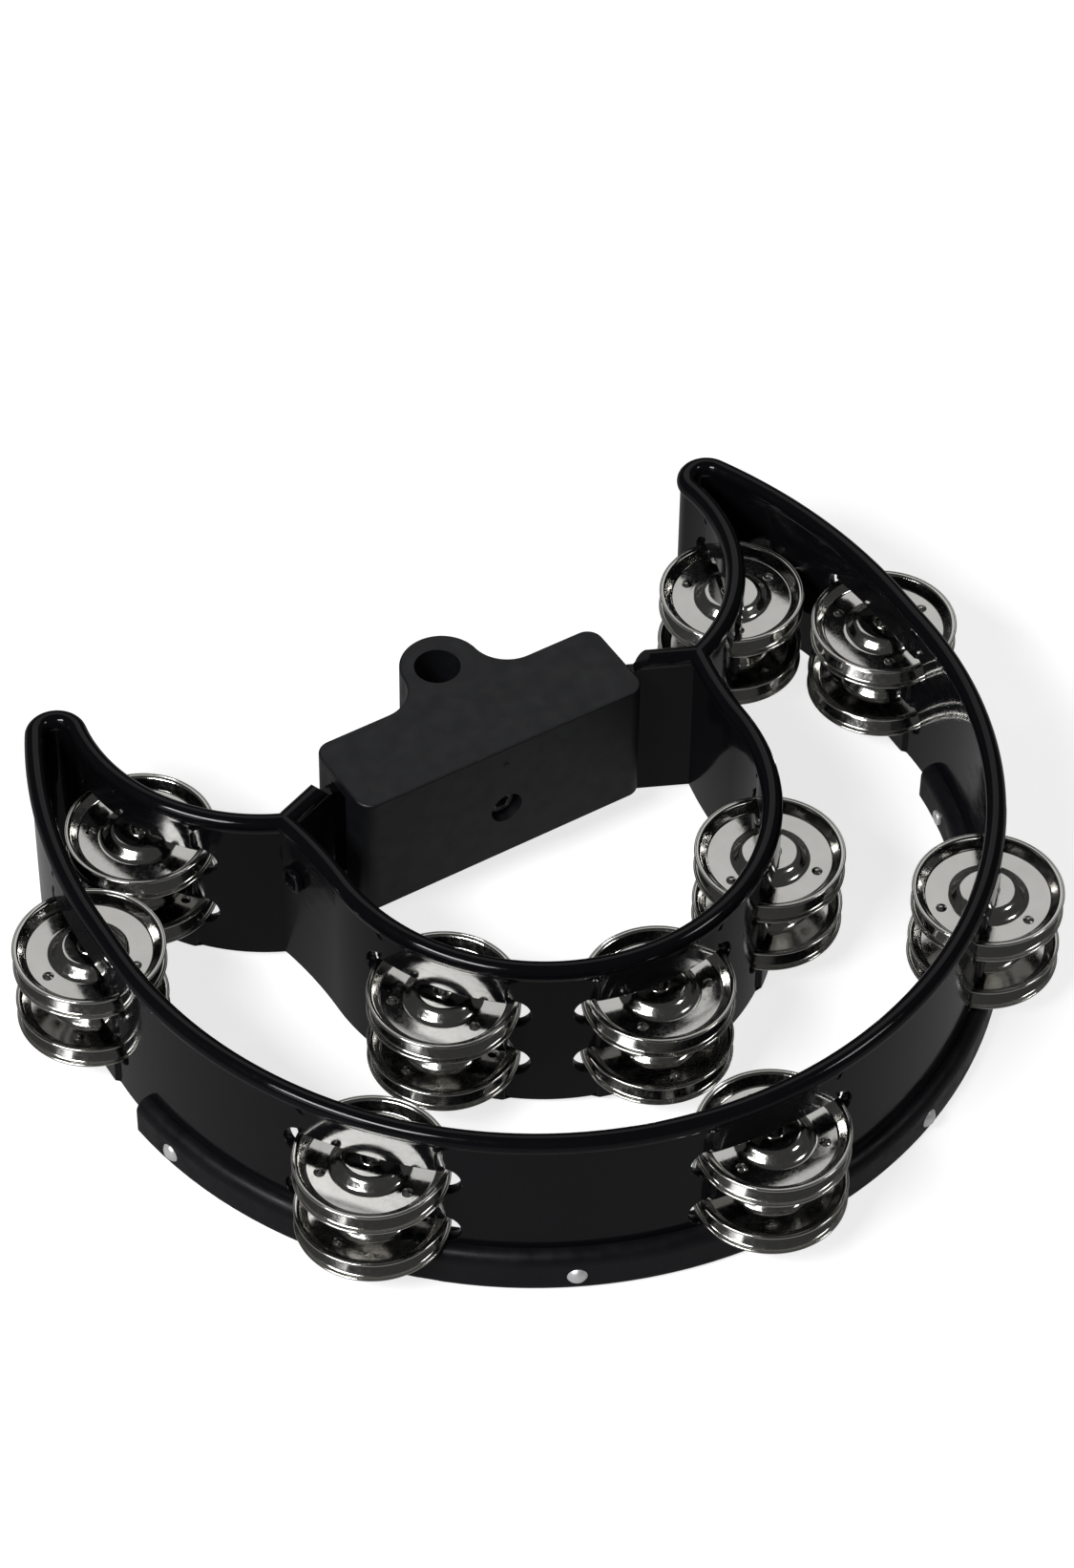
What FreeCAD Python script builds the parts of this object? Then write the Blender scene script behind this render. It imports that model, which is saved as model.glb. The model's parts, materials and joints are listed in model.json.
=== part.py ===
"""Rod-mounted half-moon tambourine with forty jingle plates.

Millimetres, +Z up. The tambourine lies flat on its bumper. X runs along the handle,
+Y is the rear (the side that faces the rod) and the origin is the centre of the
footprint on the resting plane. Plan shapes are drawn with the handle on y = 0 and
moved to the origin when they are saved.
"""
import FreeCAD
import Part
import math
import os

V = FreeCAD.Vector
UP = V(0, 0, 1)

# ---- overall placing ----
HANDLE_TO_ORIGIN = 53.2      # handle line lies this far behind the footprint centre

# ---- frame: plan of the wall centreline ----
FRONT_R = 116.1              # front half circle
FRONT_Y = -26.7
FLAT_LENGTH = 12.7           # short straight run at the widest point
SIDE_R = 142.0               # sides that curve in towards the horns
HORN_R = 5.45
ARM_R = 50.4                 # concave arms between the horns and the handle
ARM_C = (40.8, 39.1)
JUNCTION_DEG = -67.4         # where arm, hand loop and handle bar meet
LOOP_R = 57.5                # front of the hand loop
LOOP_Y = -31.9
BAR_BEND_X = 43.6            # the cranked bars straighten here, just outside the block
BAR_Y = -0.45

# ---- frame: section of the wall ----
WALL_T = 3.1
WALL_BOTTOM = 2.9
BEAD_R = 2.55
BEAD_Z = 49.3
BAR_TOP = 46.6               # low top of the bar inside the block
BEAD_STOP_X = 46.2           # bead is bevelled off here
SLOT_LENGTH = 44.6
UPPER_SLOT = (30.2, 39.5)
LOWER_SLOT = (12.4, 21.6)
PAD_T = 5.1
PAD_LENGTH = 33.4
BOSS_Z = 36.0                # small cup on the outer side of each loop leg
BOSS_SIZE = 6.4
BOSS_PROUD = 2.2
BOSS_WALL = 0.9
BOSS_FROM_JUNCTION = 6.6

# ---- stations ----
FRONT_STEP_DEG = 49.0
SIDE_STATION_ARC = 16.9      # past the widest point
ARM_STATION_DEG = -22.9
LOOP_STEP_DEG = 54.7

# ---- pins ----
PIN_R = 1.1
PIN_TOP = 47.0
PIN_HEAD_R = 2.1
PIN_HEAD_T = 0.7
FIT = 0.02                   # radial and face clearance of seated parts

# ---- plates ----
SHEET_T = 0.45
PLATE_R = 19.1
DISH = 2.45                  # height of the lip above the ring
RIM_OUT_R = 17.9
RIM_IN_R = 15.9
HUB_BASE_R = 9.7
HUB_TOP_R = 7.1
EYE_R = 2.62                 # mean radius of the rolled edge round the hole
EYE_BEAD_R = 0.4
LIP_BEAD_R = 0.34
HUB_BEND_R = 2.7             # to the middle of the sheet
RIM_BEND_R = 1.0
DIMPLE_AT_R = 12.6
DIMPLE_R = 1.35
DIMPLE_RISE = 0.55
# plan angle of the first dimple of each upper top plate, and what the other rows add to it
DIMPLE_TURNS = {"side_r": 5, "front_r": 50, "front_m": 82, "front_l": 44, "side_l": 70,
                "arm_r": 8, "loop_r": 69, "loop_m": 101, "loop_l": 38, "arm_l": 26}
ROW_TURNS = {"upper_a": 0, "upper_b": 51, "lower_a": 37, "lower_b": 83}
PAIR_GAP = 0.1               # half of the gap between the two rings of a pair
PAIR_MIDS = {"upper": 33.75, "lower": 15.95}

# ---- bumper ----
BUMPER_HALF_DEG = 83.0
BUMPER_HALF_W = 5.2
BUMPER_TOP = 12.2
BUMPER_TOP_ROUND = 3.5
BUMPER_BOTTOM_ROUND = 2.0
RIVET_DEGS = (-76.6, -24.5, 24.5, 76.6)
RIVET_Z = 5.4
RIVET_R = 1.2
RIVET_HEAD_R = 2.5
RIVET_HEAD_T = 1.35
RIVET_TAIL_R = 2.0
RIVET_TAIL_T = 0.9
RIVET_SEAT = 0.04            # heads stand off the curved side by this much

# ---- mount block ----
BLOCK_Y = -0.4
BLOCK_SKEW_DEG = 2.0         # it sits slightly askew in its clearance
BLOCK_L = 83.6
BLOCK_W = 25.8
BLOCK_BOTTOM = 12.3
BLOCK_TOP = 50.6
BLOCK_CORNER_R = 4.3
BLOCK_EDGE_R = 0.6
BLOCK_SLOT_W = 7.0
BLOCK_SLOT_TOP = 47.0
TAB_Y = 21.2                 # rod hole, from the block centre
TAB_R = 10.85
TAB_FILLET_R = 10.0
TAB_SHIFT = 1.2              # the tab's outline sits this far to the right of the rod hole
ROD_R = 6.0

# ---- clamp screw and nut ----
SCREW_Z = 28.8
SCREW_R = 2.45
SCREW_HEAD_R = 3.95
SCREW_HEAD_T = 4.0
SCREW_HEAD_FACE = -10.0
SCREW_TIP = 14.9
HEX_AF = 4.0
HEX_DEPTH = 2.4
COUNTERBORE_R = 4.5
COUNTERBORE_FLOOR = -3.4
SCREW_HOLE_R = 2.8
SCREW_WINDOW_R = 4.6         # through the handle wall
MARK_R = 0.6                 # small raised mark on the block's front
MARK_RISE = 0.35
MARK_Z = 44.4
NUT_AF = 8.0
NUT_T = 4.0
NUT_Y = 5.6


def polar(centre, radius, deg):
    """Point at an angle on a plan circle."""
    rad = math.radians(deg)
    return centre[0] + radius * math.cos(rad), centre[1] + radius * math.sin(rad)


def angle_to(centre, point):
    """Plan angle in degrees from a centre to a point."""
    return math.degrees(math.atan2(point[1] - centre[1], point[0] - centre[0]))


def two_circles(c1, r1, c2, r2):
    """Front crossing of two plan circles."""
    dx = c2[0] - c1[0]
    dy = c2[1] - c1[1]
    gap = math.hypot(dx, dy)
    along = (gap * gap + r1 * r1 - r2 * r2) / (2.0 * gap)
    off = math.sqrt(r1 * r1 - along * along)
    options = []
    for side in (1.0, -1.0):
        x = c1[0] + (along * dx - side * off * dy) / gap
        y = c1[1] + (along * dy + side * off * dx) / gap
        options.append((x, y))
    return min(options, key=lambda p: p[1])


# ---- plan of the right half, worked out from the dimensions ----
FRONT_C = (0.0, FRONT_Y)
LOOP_C = (0.0, LOOP_Y)
FLAT_END = (FRONT_R, FRONT_Y + FLAT_LENGTH)
SIDE_C = (FRONT_R - SIDE_R, FLAT_END[1])
HORN_C = two_circles(SIDE_C, SIDE_R - HORN_R, ARM_C, ARM_R + HORN_R)
HORN_START_DEG = angle_to(SIDE_C, HORN_C)
HORN_END_DEG = angle_to(HORN_C, ARM_C) % 360.0
ARM_END_DEG = angle_to(ARM_C, HORN_C)
JUNCTION = polar(ARM_C, ARM_R, JUNCTION_DEG)
LEG_DX = JUNCTION[0] - LOOP_R
LEG_DY = JUNCTION[1] - LOOP_Y
LEG_R = (LEG_DX ** 2 + LEG_DY ** 2) / (2.0 * LEG_DX)
LEG_C = (LOOP_R + LEG_R, LOOP_Y)
LEG_END_DEG = angle_to(LEG_C, JUNCTION) % 360.0


def mirrored(shape):
    """Left-hand copy of a right-hand shape."""
    return shape.mirror(V(0, 0, 0), V(1, 0, 0))


def wall_face(bottom=WALL_BOTTOM):
    """Wall section with its round bead, in the XZ plane, centred on x = 0."""
    half = WALL_T / 2.0
    neck = BEAD_Z - math.sqrt(BEAD_R ** 2 - half ** 2)
    right = V(half, 0, neck)
    left = V(-half, 0, neck)
    bead = Part.Arc(right, V(0, 0, BEAD_Z + BEAD_R), left).toShape()
    sides = Part.makePolygon([left, V(-half, 0, bottom), V(half, 0, bottom), right])
    return Part.Face(Part.Wire([bead] + sides.Edges))


def rect_face(half_w, bottom, top):
    """Upright rectangle in the XZ plane, centred on x = 0."""
    corners = [V(-half_w, 0, bottom), V(half_w, 0, bottom), V(half_w, 0, top), V(-half_w, 0, top)]
    return Part.Face(Part.makePolygon(corners + corners[:1]))


def swept(face, centre, radius, start_deg, end_deg):
    """Carry a section round a plan arc."""
    section = face.copy()
    section.translate(V(radius, 0, 0))
    section.rotate(V(0, 0, 0), UP, start_deg)
    section.translate(V(centre[0], centre[1], 0))
    return section.revolve(V(centre[0], centre[1], 0), UP, end_deg - start_deg)


def straight(face, start, end):
    """Carry a section along a straight plan line."""
    dx = end[0] - start[0]
    dy = end[1] - start[1]
    section = face.copy()
    section.rotate(V(0, 0, 0), UP, math.degrees(math.atan2(dy, dx)) + 90.0)
    section.translate(V(start[0], start[1], 0))
    return section.extrude(V(dx, dy, 0))


def post(point, radius, bottom, top):
    """Upright cylinder at a plan point."""
    return Part.makeCylinder(radius, top - bottom, V(point[0], point[1], bottom))


def stations():
    """Each station: name, (x, y), outward direction, and the arc (centre, radius) it sits on."""
    side_deg = math.degrees((SIDE_STATION_ARC - FLAT_LENGTH) / SIDE_R)
    right_side = (SIDE_C, SIDE_R, side_deg)
    right_arm = (ARM_C, ARM_R, ARM_STATION_DEG)
    arcs = [("side_r",) + right_side,
            ("front_r", FRONT_C, FRONT_R, -90.0 + FRONT_STEP_DEG),
            ("front_m", FRONT_C, FRONT_R, -90.0),
            ("front_l", FRONT_C, FRONT_R, -90.0 - FRONT_STEP_DEG),
            ("side_l", (-SIDE_C[0], SIDE_C[1]), SIDE_R, 180.0 - side_deg),
            ("arm_r",) + right_arm,
            ("loop_r", LOOP_C, LOOP_R, -90.0 + LOOP_STEP_DEG),
            ("loop_m", LOOP_C, LOOP_R, -90.0),
            ("loop_l", LOOP_C, LOOP_R, -90.0 - LOOP_STEP_DEG),
            ("arm_l", (-ARM_C[0], ARM_C[1]), ARM_R, 180.0 - ARM_STATION_DEG)]
    return [(name, polar(c, r, deg), deg, c, r) for name, c, r, deg in arcs]


def slot_cutter(point, deg, z_range):
    """Horizontal slot with half-round ends, cut straight through the wall."""
    bottom, top = z_range
    half_h = (top - bottom) / 2.0
    mid = (top + bottom) / 2.0
    reach = SLOT_LENGTH / 2.0 - half_h
    depth = 9.0
    box = Part.makeBox(2 * depth, 2 * reach, 2 * half_h, V(-depth, -reach, bottom))
    ends = [Part.makeCylinder(half_h, 2 * depth, V(-depth, y, mid), V(1, 0, 0)) for y in (-reach, reach)]
    cutter = box.multiFuse(ends)
    cutter.rotate(V(0, 0, 0), UP, deg)
    cutter.translate(V(point[0], point[1], 0))
    return cutter


def pad(station, grow, top):
    """Thickened stretch of wall round a pin, with half-round ends."""
    _, _, deg, centre, radius = station
    half_t = PAD_T / 2.0 + grow
    half_deg = math.degrees((PAD_LENGTH / 2.0 - PAD_T / 2.0) / radius)
    face = rect_face(half_t, WALL_BOTTOM - grow, top)
    body = swept(face, centre, radius, deg - half_deg, deg + half_deg)
    ends = [post(polar(centre, radius, deg + s * half_deg), half_t, WALL_BOTTOM - grow, top)
            for s in (-1, 1)]
    return body.multiFuse(ends)


def loop_boss():
    """Small rounded cup on the outer side of the right loop leg."""
    deg = LEG_END_DEG + math.degrees(BOSS_FROM_JUNCTION / LEG_R)
    half = BOSS_SIZE / 2.0
    reach = WALL_T / 2.0 + BOSS_PROUD
    outer = Part.makeBox(reach, BOSS_SIZE, BOSS_SIZE, V(0, -half, BOSS_Z - half))
    outer = outer.makeFillet(1.8, [e for e in outer.Edges if e.tangentAt(0).cross(V(1, 0, 0)).Length < 0.1])
    inside = half - BOSS_WALL
    recess = Part.makeCylinder(inside, BOSS_PROUD, V(WALL_T / 2.0 + 0.4, 0, BOSS_Z), V(1, 0, 0))
    cup = outer.cut(recess)
    cup.rotate(V(0, 0, 0), UP, deg + 180.0)
    at = polar(LEG_C, LEG_R, deg)
    cup.translate(V(at[0], at[1], 0))
    return cup


def pin_shape(point, grow=0.0):
    """Pin with its flat head under the wall; grow gives the hole for it."""
    shank = post(point, PIN_R + grow, WALL_BOTTOM + FIT, PIN_TOP + grow)
    head = post(point, PIN_HEAD_R + grow, WALL_BOTTOM + FIT - grow * 2, WALL_BOTTOM + FIT + PIN_HEAD_T + grow)
    return shank.fuse(head).removeSplitter()


def rivet_frames():
    """Plan angle of each rivet on the front circle."""
    return [-90.0 + d for d in RIVET_DEGS]


def at_front(shape, deg):
    """Put a shape made along +X (u = 0 on the wall centreline) on the front circle."""
    placed = shape.copy()
    placed.translate(V(FRONT_R, 0, 0))
    placed.rotate(V(0, 0, 0), UP, deg)
    placed.translate(V(FRONT_C[0], FRONT_C[1], 0))
    return placed


def rivet_hole(deg):
    """Clear hole for one rivet shank."""
    reach = BUMPER_HALF_W + 1.0
    hole = Part.makeCylinder(RIVET_R + FIT, 2 * reach, V(-reach, 0, RIVET_Z), V(1, 0, 0))
    return at_front(hole, deg)


def make_frame():
    """One moulding: wall with bead, horns, arms, hand loop and handle bars."""
    face = wall_face()
    low = rect_face(WALL_T / 2.0, WALL_BOTTOM, BAR_TOP)
    bend = (BAR_BEND_X, BAR_Y)
    half = [straight(face, (FRONT_R, FRONT_Y), FLAT_END),
            swept(face, SIDE_C, SIDE_R, 0.0, HORN_START_DEG),
            swept(face, HORN_C, HORN_R, HORN_START_DEG, HORN_END_DEG),
            swept(face, ARM_C, ARM_R, JUNCTION_DEG, ARM_END_DEG),
            swept(face, LEG_C, LEG_R, LEG_END_DEG, 180.0),
            straight(face, JUNCTION, bend),
            post(JUNCTION, WALL_T / 2.0, WALL_BOTTOM, BEAD_Z),
            Part.makeSphere(BEAD_R, V(JUNCTION[0], JUNCTION[1], BEAD_Z)),
            post(bend, WALL_T / 2.0, WALL_BOTTOM, BAR_TOP),
            loop_boss()]
    pieces = half + [mirrored(s) for s in half]
    pieces.append(swept(face, LOOP_C, LOOP_R, -180.0, 0.0))
    pieces.append(straight(low, (-BAR_BEND_X, BAR_Y), bend))
    pieces += [pad(s, 0.0, BEAD_Z) for s in stations()]
    solid = swept(face, FRONT_C, FRONT_R, -180.0, 0.0).multiFuse(pieces)

    cuts = []
    for station in stations():
        for z_range in (UPPER_SLOT, LOWER_SLOT):
            cuts.append(slot_cutter(station[1], station[2], z_range))
        cuts.append(pin_shape(station[1], FIT))
    cuts += [rivet_hole(deg) for deg in rivet_frames()]
    cuts.append(bead_stop())
    cuts.append(mirrored(bead_stop()))
    cuts.append(Part.makeCylinder(SCREW_WINDOW_R, 12.0, V(0, BAR_Y - 6.0, SCREW_Z), V(0, 1, 0)))
    return solid.cut(cuts).removeSplitter()


def bead_stop():
    """Bevelled cut that ends the bead of the right bar before the block."""
    top = BEAD_Z + BEAD_R + 1.0
    run = top - BAR_TOP
    corners = [V(BEAD_STOP_X - run * 0.6, -12, BAR_TOP), V(BEAD_STOP_X + run * 0.4, -12, top),
               V(BAR_BEND_X - 12, -12, top), V(BAR_BEND_X - 12, -12, BAR_TOP)]
    return Part.Face(Part.makePolygon(corners + corners[:1])).extrude(V(0, 24, 0))


def bumper_face():
    """U section of the bumper, in the XZ plane, centred on the wall."""
    w = BUMPER_HALF_W
    b = BUMPER_BOTTOM_ROUND
    t = BUMPER_TOP_ROUND
    inside = WALL_T / 2.0 + FIT
    floor = WALL_BOTTOM - FIT
    diag = math.sqrt(0.5)
    edges = []
    for s in (1, -1):
        low_mid = V(s * (w - b + b * diag), 0, b - b * diag)
        top_mid = V(s * (w - t + t * diag), 0, BUMPER_TOP - t + t * diag)
        edges.append(Part.makeLine(V(0, 0, 0), V(s * (w - b), 0, 0)))
        edges.append(Part.Arc(V(s * (w - b), 0, 0), low_mid, V(s * w, 0, b)).toShape())
        edges.append(Part.makeLine(V(s * w, 0, b), V(s * w, 0, BUMPER_TOP - t)))
        edges.append(Part.Arc(V(s * w, 0, BUMPER_TOP - t), top_mid, V(s * (w - t), 0, BUMPER_TOP)).toShape())
        edges.append(Part.makeLine(V(s * (w - t), 0, BUMPER_TOP), V(s * inside, 0, BUMPER_TOP)))
        edges.append(Part.makeLine(V(s * inside, 0, BUMPER_TOP), V(s * inside, 0, floor)))
    edges.append(Part.makeLine(V(inside, 0, floor), V(-inside, 0, floor)))
    return Part.Face(Part.Wire(Part.__sortEdges__(edges)))


def make_bumper():
    """Rubber strip hugging the front of the frame."""
    strip = swept(bumper_face(), FRONT_C, FRONT_R, -90.0 - BUMPER_HALF_DEG, -90.0 + BUMPER_HALF_DEG)
    cuts = [pad(s, FIT, BUMPER_TOP + 1.0) for s in stations() if s[0].startswith("front")]
    cuts += [rivet_hole(deg) for deg in rivet_frames()]
    return strip.cut(cuts).removeSplitter()


def make_rivet(deg):
    """Tubular rivet: domed head outside, rolled tail inside."""
    seat = BUMPER_HALF_W + RIVET_SEAT
    along = V(1, 0, 0)
    shank = Part.makeCylinder(RIVET_R, 2 * seat, V(-seat, 0, RIVET_Z), along)
    ball_r = (RIVET_HEAD_R ** 2 + RIVET_HEAD_T ** 2) / (2.0 * RIVET_HEAD_T)
    centre = V(seat + RIVET_HEAD_T - ball_r, 0, RIVET_Z)
    start_lat = math.degrees(math.asin((ball_r - RIVET_HEAD_T) / ball_r))
    head = Part.makeSphere(ball_r, centre, along, start_lat, 90.0, 360.0)
    tail = Part.makeCylinder(RIVET_TAIL_R, RIVET_TAIL_T, V(-seat, 0, RIVET_Z), V(-1, 0, 0))
    tail = tail.makeFillet(0.4, [e for e in tail.Edges if e.BoundBox.XMax < -seat - 0.5])
    tube = Part.makeCylinder(RIVET_R * 0.6, RIVET_TAIL_T + 1.5, V(-seat + 1.5, 0, RIVET_Z), V(-1, 0, 0))
    return at_front(shank.multiFuse([head, tail]).cut(tube).removeSplitter(), deg)


def offset_chain(points, distance):
    """Polyline moved sideways by a distance, with mitred corners."""
    normals = []
    for (x0, z0), (x1, z1) in zip(points, points[1:]):
        length = math.hypot(x1 - x0, z1 - z0)
        normals.append((-(z1 - z0) / length, (x1 - x0) / length))
    moved = []
    for i, (x, z) in enumerate(points):
        before = normals[max(i - 1, 0)]
        after = normals[min(i, len(normals) - 1)]
        scale = distance / (1.0 + before[0] * after[0] + before[1] * after[1])
        moved.append((x + (before[0] + after[0]) * scale, z + (before[1] + after[1]) * scale))
    return moved


def rounded_edges(points, radii):
    """Edges of an open polyline in the XZ plane with rounded inner corners."""
    edges = []
    last = V(points[0][0], 0, points[0][1])
    for i in range(1, len(points) - 1):
        corner = V(points[i][0], 0, points[i][1])
        back = (V(points[i - 1][0], 0, points[i - 1][1]) - corner).normalize()
        ahead = (V(points[i + 1][0], 0, points[i + 1][1]) - corner).normalize()
        half = back.getAngle(ahead) / 2.0
        reach = radii[i - 1] / math.tan(half)
        start = corner + back * reach
        end = corner + ahead * reach
        middle = (back + ahead).normalize()
        mid = corner + middle * (radii[i - 1] / math.sin(half) - radii[i - 1])
        edges.append(Part.makeLine(last, start))
        edges.append(Part.Arc(start, mid, end).toShape())
        last = end
    edges.append(Part.makeLine(last, V(points[-1][0], 0, points[-1][1])))
    return edges


def make_plate():
    """Jingle plate, dish upward, with the underside of its ring on z = 0."""
    half_t = SHEET_T / 2.0
    high = DISH + half_t
    middle = [(EYE_R, high), (HUB_TOP_R, high), (HUB_BASE_R, half_t), (RIM_IN_R, half_t),
              (RIM_OUT_R, high), (PLATE_R - LIP_BEAD_R, high)]
    bends = ((-1, HUB_BEND_R), (1, HUB_BEND_R), (1, RIM_BEND_R), (-1, RIM_BEND_R))
    under = offset_chain(middle, -half_t)
    over = offset_chain(middle, half_t)
    under_edges = rounded_edges(under, [radius + way * half_t for way, radius in bends])
    over_edges = rounded_edges(over, [radius - way * half_t for way, radius in bends])
    ends = [Part.makeLine(V(under[i][0], 0, under[i][1]), V(over[i][0], 0, over[i][1])) for i in (0, -1)]
    outline = Part.Wire(Part.__sortEdges__(under_edges + over_edges + ends))
    sheet = Part.Face(outline).revolve(V(0, 0, 0), UP, 360.0)
    eye = Part.makeTorus(EYE_R, EYE_BEAD_R, V(0, 0, high))
    lip = Part.makeTorus(PLATE_R - LIP_BEAD_R, LIP_BEAD_R, V(0, 0, high))
    ball_r = (DIMPLE_R ** 2 + DIMPLE_RISE ** 2) / (2.0 * DIMPLE_RISE)
    ball_z = SHEET_T + DIMPLE_RISE - ball_r
    low_lat = math.degrees(math.asin((half_t - ball_z) / ball_r))
    bumps = []
    for k in range(3):
        at = polar((0, 0), DIMPLE_AT_R, 120.0 * k)
        bumps.append(Part.makeSphere(ball_r, V(at[0], at[1], ball_z), UP, low_lat, 90.0, 360.0))
    return sheet.multiFuse([eye, lip] + bumps).removeSplitter()


def place_plate(plate, point, z, turn_deg, flipped):
    """Copy of the plate on its pin; a flipped plate dishes downward."""
    copy = plate.copy()
    if flipped:
        copy.rotate(V(0, 0, 0), V(1, 0, 0), 180.0)
    copy.rotate(V(0, 0, 0), UP, turn_deg)
    copy.translate(V(point[0], point[1], z))
    return copy


def in_block(shape):
    """Move a shape from the block's own axes to its assembled, slightly skewed place."""
    placed = shape.copy()
    placed.rotate(V(0, 0, 0), UP, BLOCK_SKEW_DEG)
    placed.translate(V(0, BLOCK_Y, 0))
    return placed


def hexagon(across_flats, thickness, y, z):
    """Hexagonal prism along +Y."""
    radius = across_flats / math.sqrt(3.0)
    corners = [V(radius * math.cos(math.radians(60 * k)), y, z + radius * math.sin(math.radians(60 * k)))
               for k in range(6)]
    return Part.Face(Part.makePolygon(corners + corners[:1])).extrude(V(0, thickness, 0))


def tab_outline():
    """Rounded tab behind the block with concave fillets, as one plan face."""
    reach = TAB_R + TAB_FILLET_R
    rear = BLOCK_W / 2.0
    fillet_y = rear + TAB_FILLET_R
    fillet_x = math.sqrt(reach ** 2 - (TAB_Y - fillet_y) ** 2)
    hub = V(0, TAB_Y, 0)
    back = V(0, 1, 0)
    edges = []
    for s in (1, -1):
        centre = V(s * fillet_x, fillet_y, 0)
        foot = V(s * fillet_x, rear, 0)
        touch = centre + (hub - centre).normalize() * TAB_FILLET_R
        toward = ((foot - centre) + (touch - centre)).normalize()
        edges.append(Part.Arc(foot, centre + toward * TAB_FILLET_R, touch).toShape())
        outward = ((touch - hub).normalize() + back).normalize()
        edges.append(Part.Arc(touch, hub + outward * TAB_R, hub + back * TAB_R).toShape())
        edges.append(Part.makeLine(foot, V(s * fillet_x, 0, 0)))
    edges.append(Part.makeLine(V(-fillet_x, 0, 0), V(fillet_x, 0, 0)))
    return Part.Face(Part.Wire(Part.__sortEdges__(edges)))


def make_block():
    """Clamp block that drops over the handle wall, with the rod hole in its tab."""
    height = BLOCK_TOP - BLOCK_BOTTOM
    box = Part.makeBox(BLOCK_L, BLOCK_W, height, V(-BLOCK_L / 2.0, -BLOCK_W / 2.0, BLOCK_BOTTOM))
    upright = [e for e in box.Edges if e.tangentAt(0).cross(UP).Length < 0.1]
    body = box.makeFillet(BLOCK_CORNER_R, upright)
    tab = tab_outline()
    tab.translate(V(TAB_SHIFT, 0, BLOCK_BOTTOM))
    body = body.fuse(tab.extrude(V(0, 0, height))).removeSplitter()
    rims = [e for e in body.Edges if e.BoundBox.ZLength < 0.01]
    body = body.makeFillet(BLOCK_EDGE_R, rims)
    slot_y = BAR_Y - BLOCK_Y
    slot = Part.makeBox(BLOCK_L + 2, BLOCK_SLOT_W, BLOCK_SLOT_TOP - BLOCK_BOTTOM + 1,
                        V(-BLOCK_L / 2.0 - 1, slot_y - BLOCK_SLOT_W / 2.0, BLOCK_BOTTOM - 1))
    back = V(0, 1, 0)
    front = -BLOCK_W / 2.0
    cuts = [slot,
            Part.makeCylinder(ROD_R, height + 2, V(0, TAB_Y, BLOCK_BOTTOM - 1)),
            Part.makeCylinder(SCREW_HOLE_R, TAB_Y - front, V(0, front, SCREW_Z), back),
            Part.makeCylinder(COUNTERBORE_R, COUNTERBORE_FLOOR - front, V(0, front, SCREW_Z), back),
            hexagon(NUT_AF + 2 * FIT, NUT_T + 2 * FIT, NUT_Y - FIT, SCREW_Z)]
    body = body.cut(cuts)
    mark = Part.makeCylinder(MARK_R, MARK_RISE + 0.5, V(0, front + 0.5, MARK_Z), V(0, -1, 0))
    return in_block(body.fuse(mark).removeSplitter())


def make_screw():
    """Socket screw that presses the rod, head sunk in the block's front."""
    back = V(0, 1, 0)
    shank = Part.makeCylinder(SCREW_R, SCREW_TIP - SCREW_HEAD_FACE, V(0, SCREW_HEAD_FACE, SCREW_Z), back)
    head = Part.makeCylinder(SCREW_HEAD_R, SCREW_HEAD_T, V(0, SCREW_HEAD_FACE, SCREW_Z), back)
    head = head.makeChamfer(0.35, [e for e in head.Edges if e.BoundBox.YMax < SCREW_HEAD_FACE + 0.1])
    socket = hexagon(HEX_AF, HEX_DEPTH + 1.0, SCREW_HEAD_FACE - 1.0, SCREW_Z)
    return in_block(shank.fuse(head).cut(socket).removeSplitter())


def make_nut():
    """Captive nut behind the handle wall."""
    bore = Part.makeCylinder(SCREW_R + 0.05, NUT_T + 2, V(0, NUT_Y - 1, SCREW_Z), V(0, 1, 0))
    return in_block(hexagon(NUT_AF, NUT_T, NUT_Y, SCREW_Z).cut(bore))


def save(name, shape):
    """Write one node, moved to the shared origin."""
    moved = shape.copy()
    moved.translate(V(0, HANDLE_TO_ORIGIN, 0))
    box = moved.BoundBox
    print("%-22s solids %2d valid %s x %.2f..%.2f y %.2f..%.2f z %.2f..%.2f"
          % (name, len(moved.Solids), moved.isValid(), box.XMin, box.XMax, box.YMin, box.YMax,
             box.ZMin, box.ZMax))
    moved.exportStep("parts/%s.step" % name)


def main():
    """Build and save every node."""
    os.makedirs("parts", exist_ok=True)
    save("frame", make_frame())
    save("mount_block", make_block())
    save("bumper_strip", make_bumper())
    save("bumper_rivets", Part.makeCompound([make_rivet(deg) for deg in rivet_frames()]))
    save("jingle_pins", Part.makeCompound([pin_shape(s[1]) for s in stations()]))
    save("clamp_screw", make_screw())
    save("clamp_nut", make_nut())
    plate = make_plate()
    for name, point in (s[:2] for s in stations()):
        for row, mid in PAIR_MIDS.items():
            for letter, gap in (("a", PAIR_GAP), ("b", -PAIR_GAP)):
                place = "%s_%s" % (row, letter)
                turn = DIMPLE_TURNS[name] + ROW_TURNS[place]
                save("plate_%s_%s" % (name, place), place_plate(plate, point, mid + gap, turn, gap < 0))


main()
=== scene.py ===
"""Looks of the rod-mounted half-moon tambourine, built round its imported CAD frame."""
import json
import math

import bpy
import numpy as np
from mathutils import Matrix, Vector
from mathutils.geometry import delaunay_2d_cdt


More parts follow.
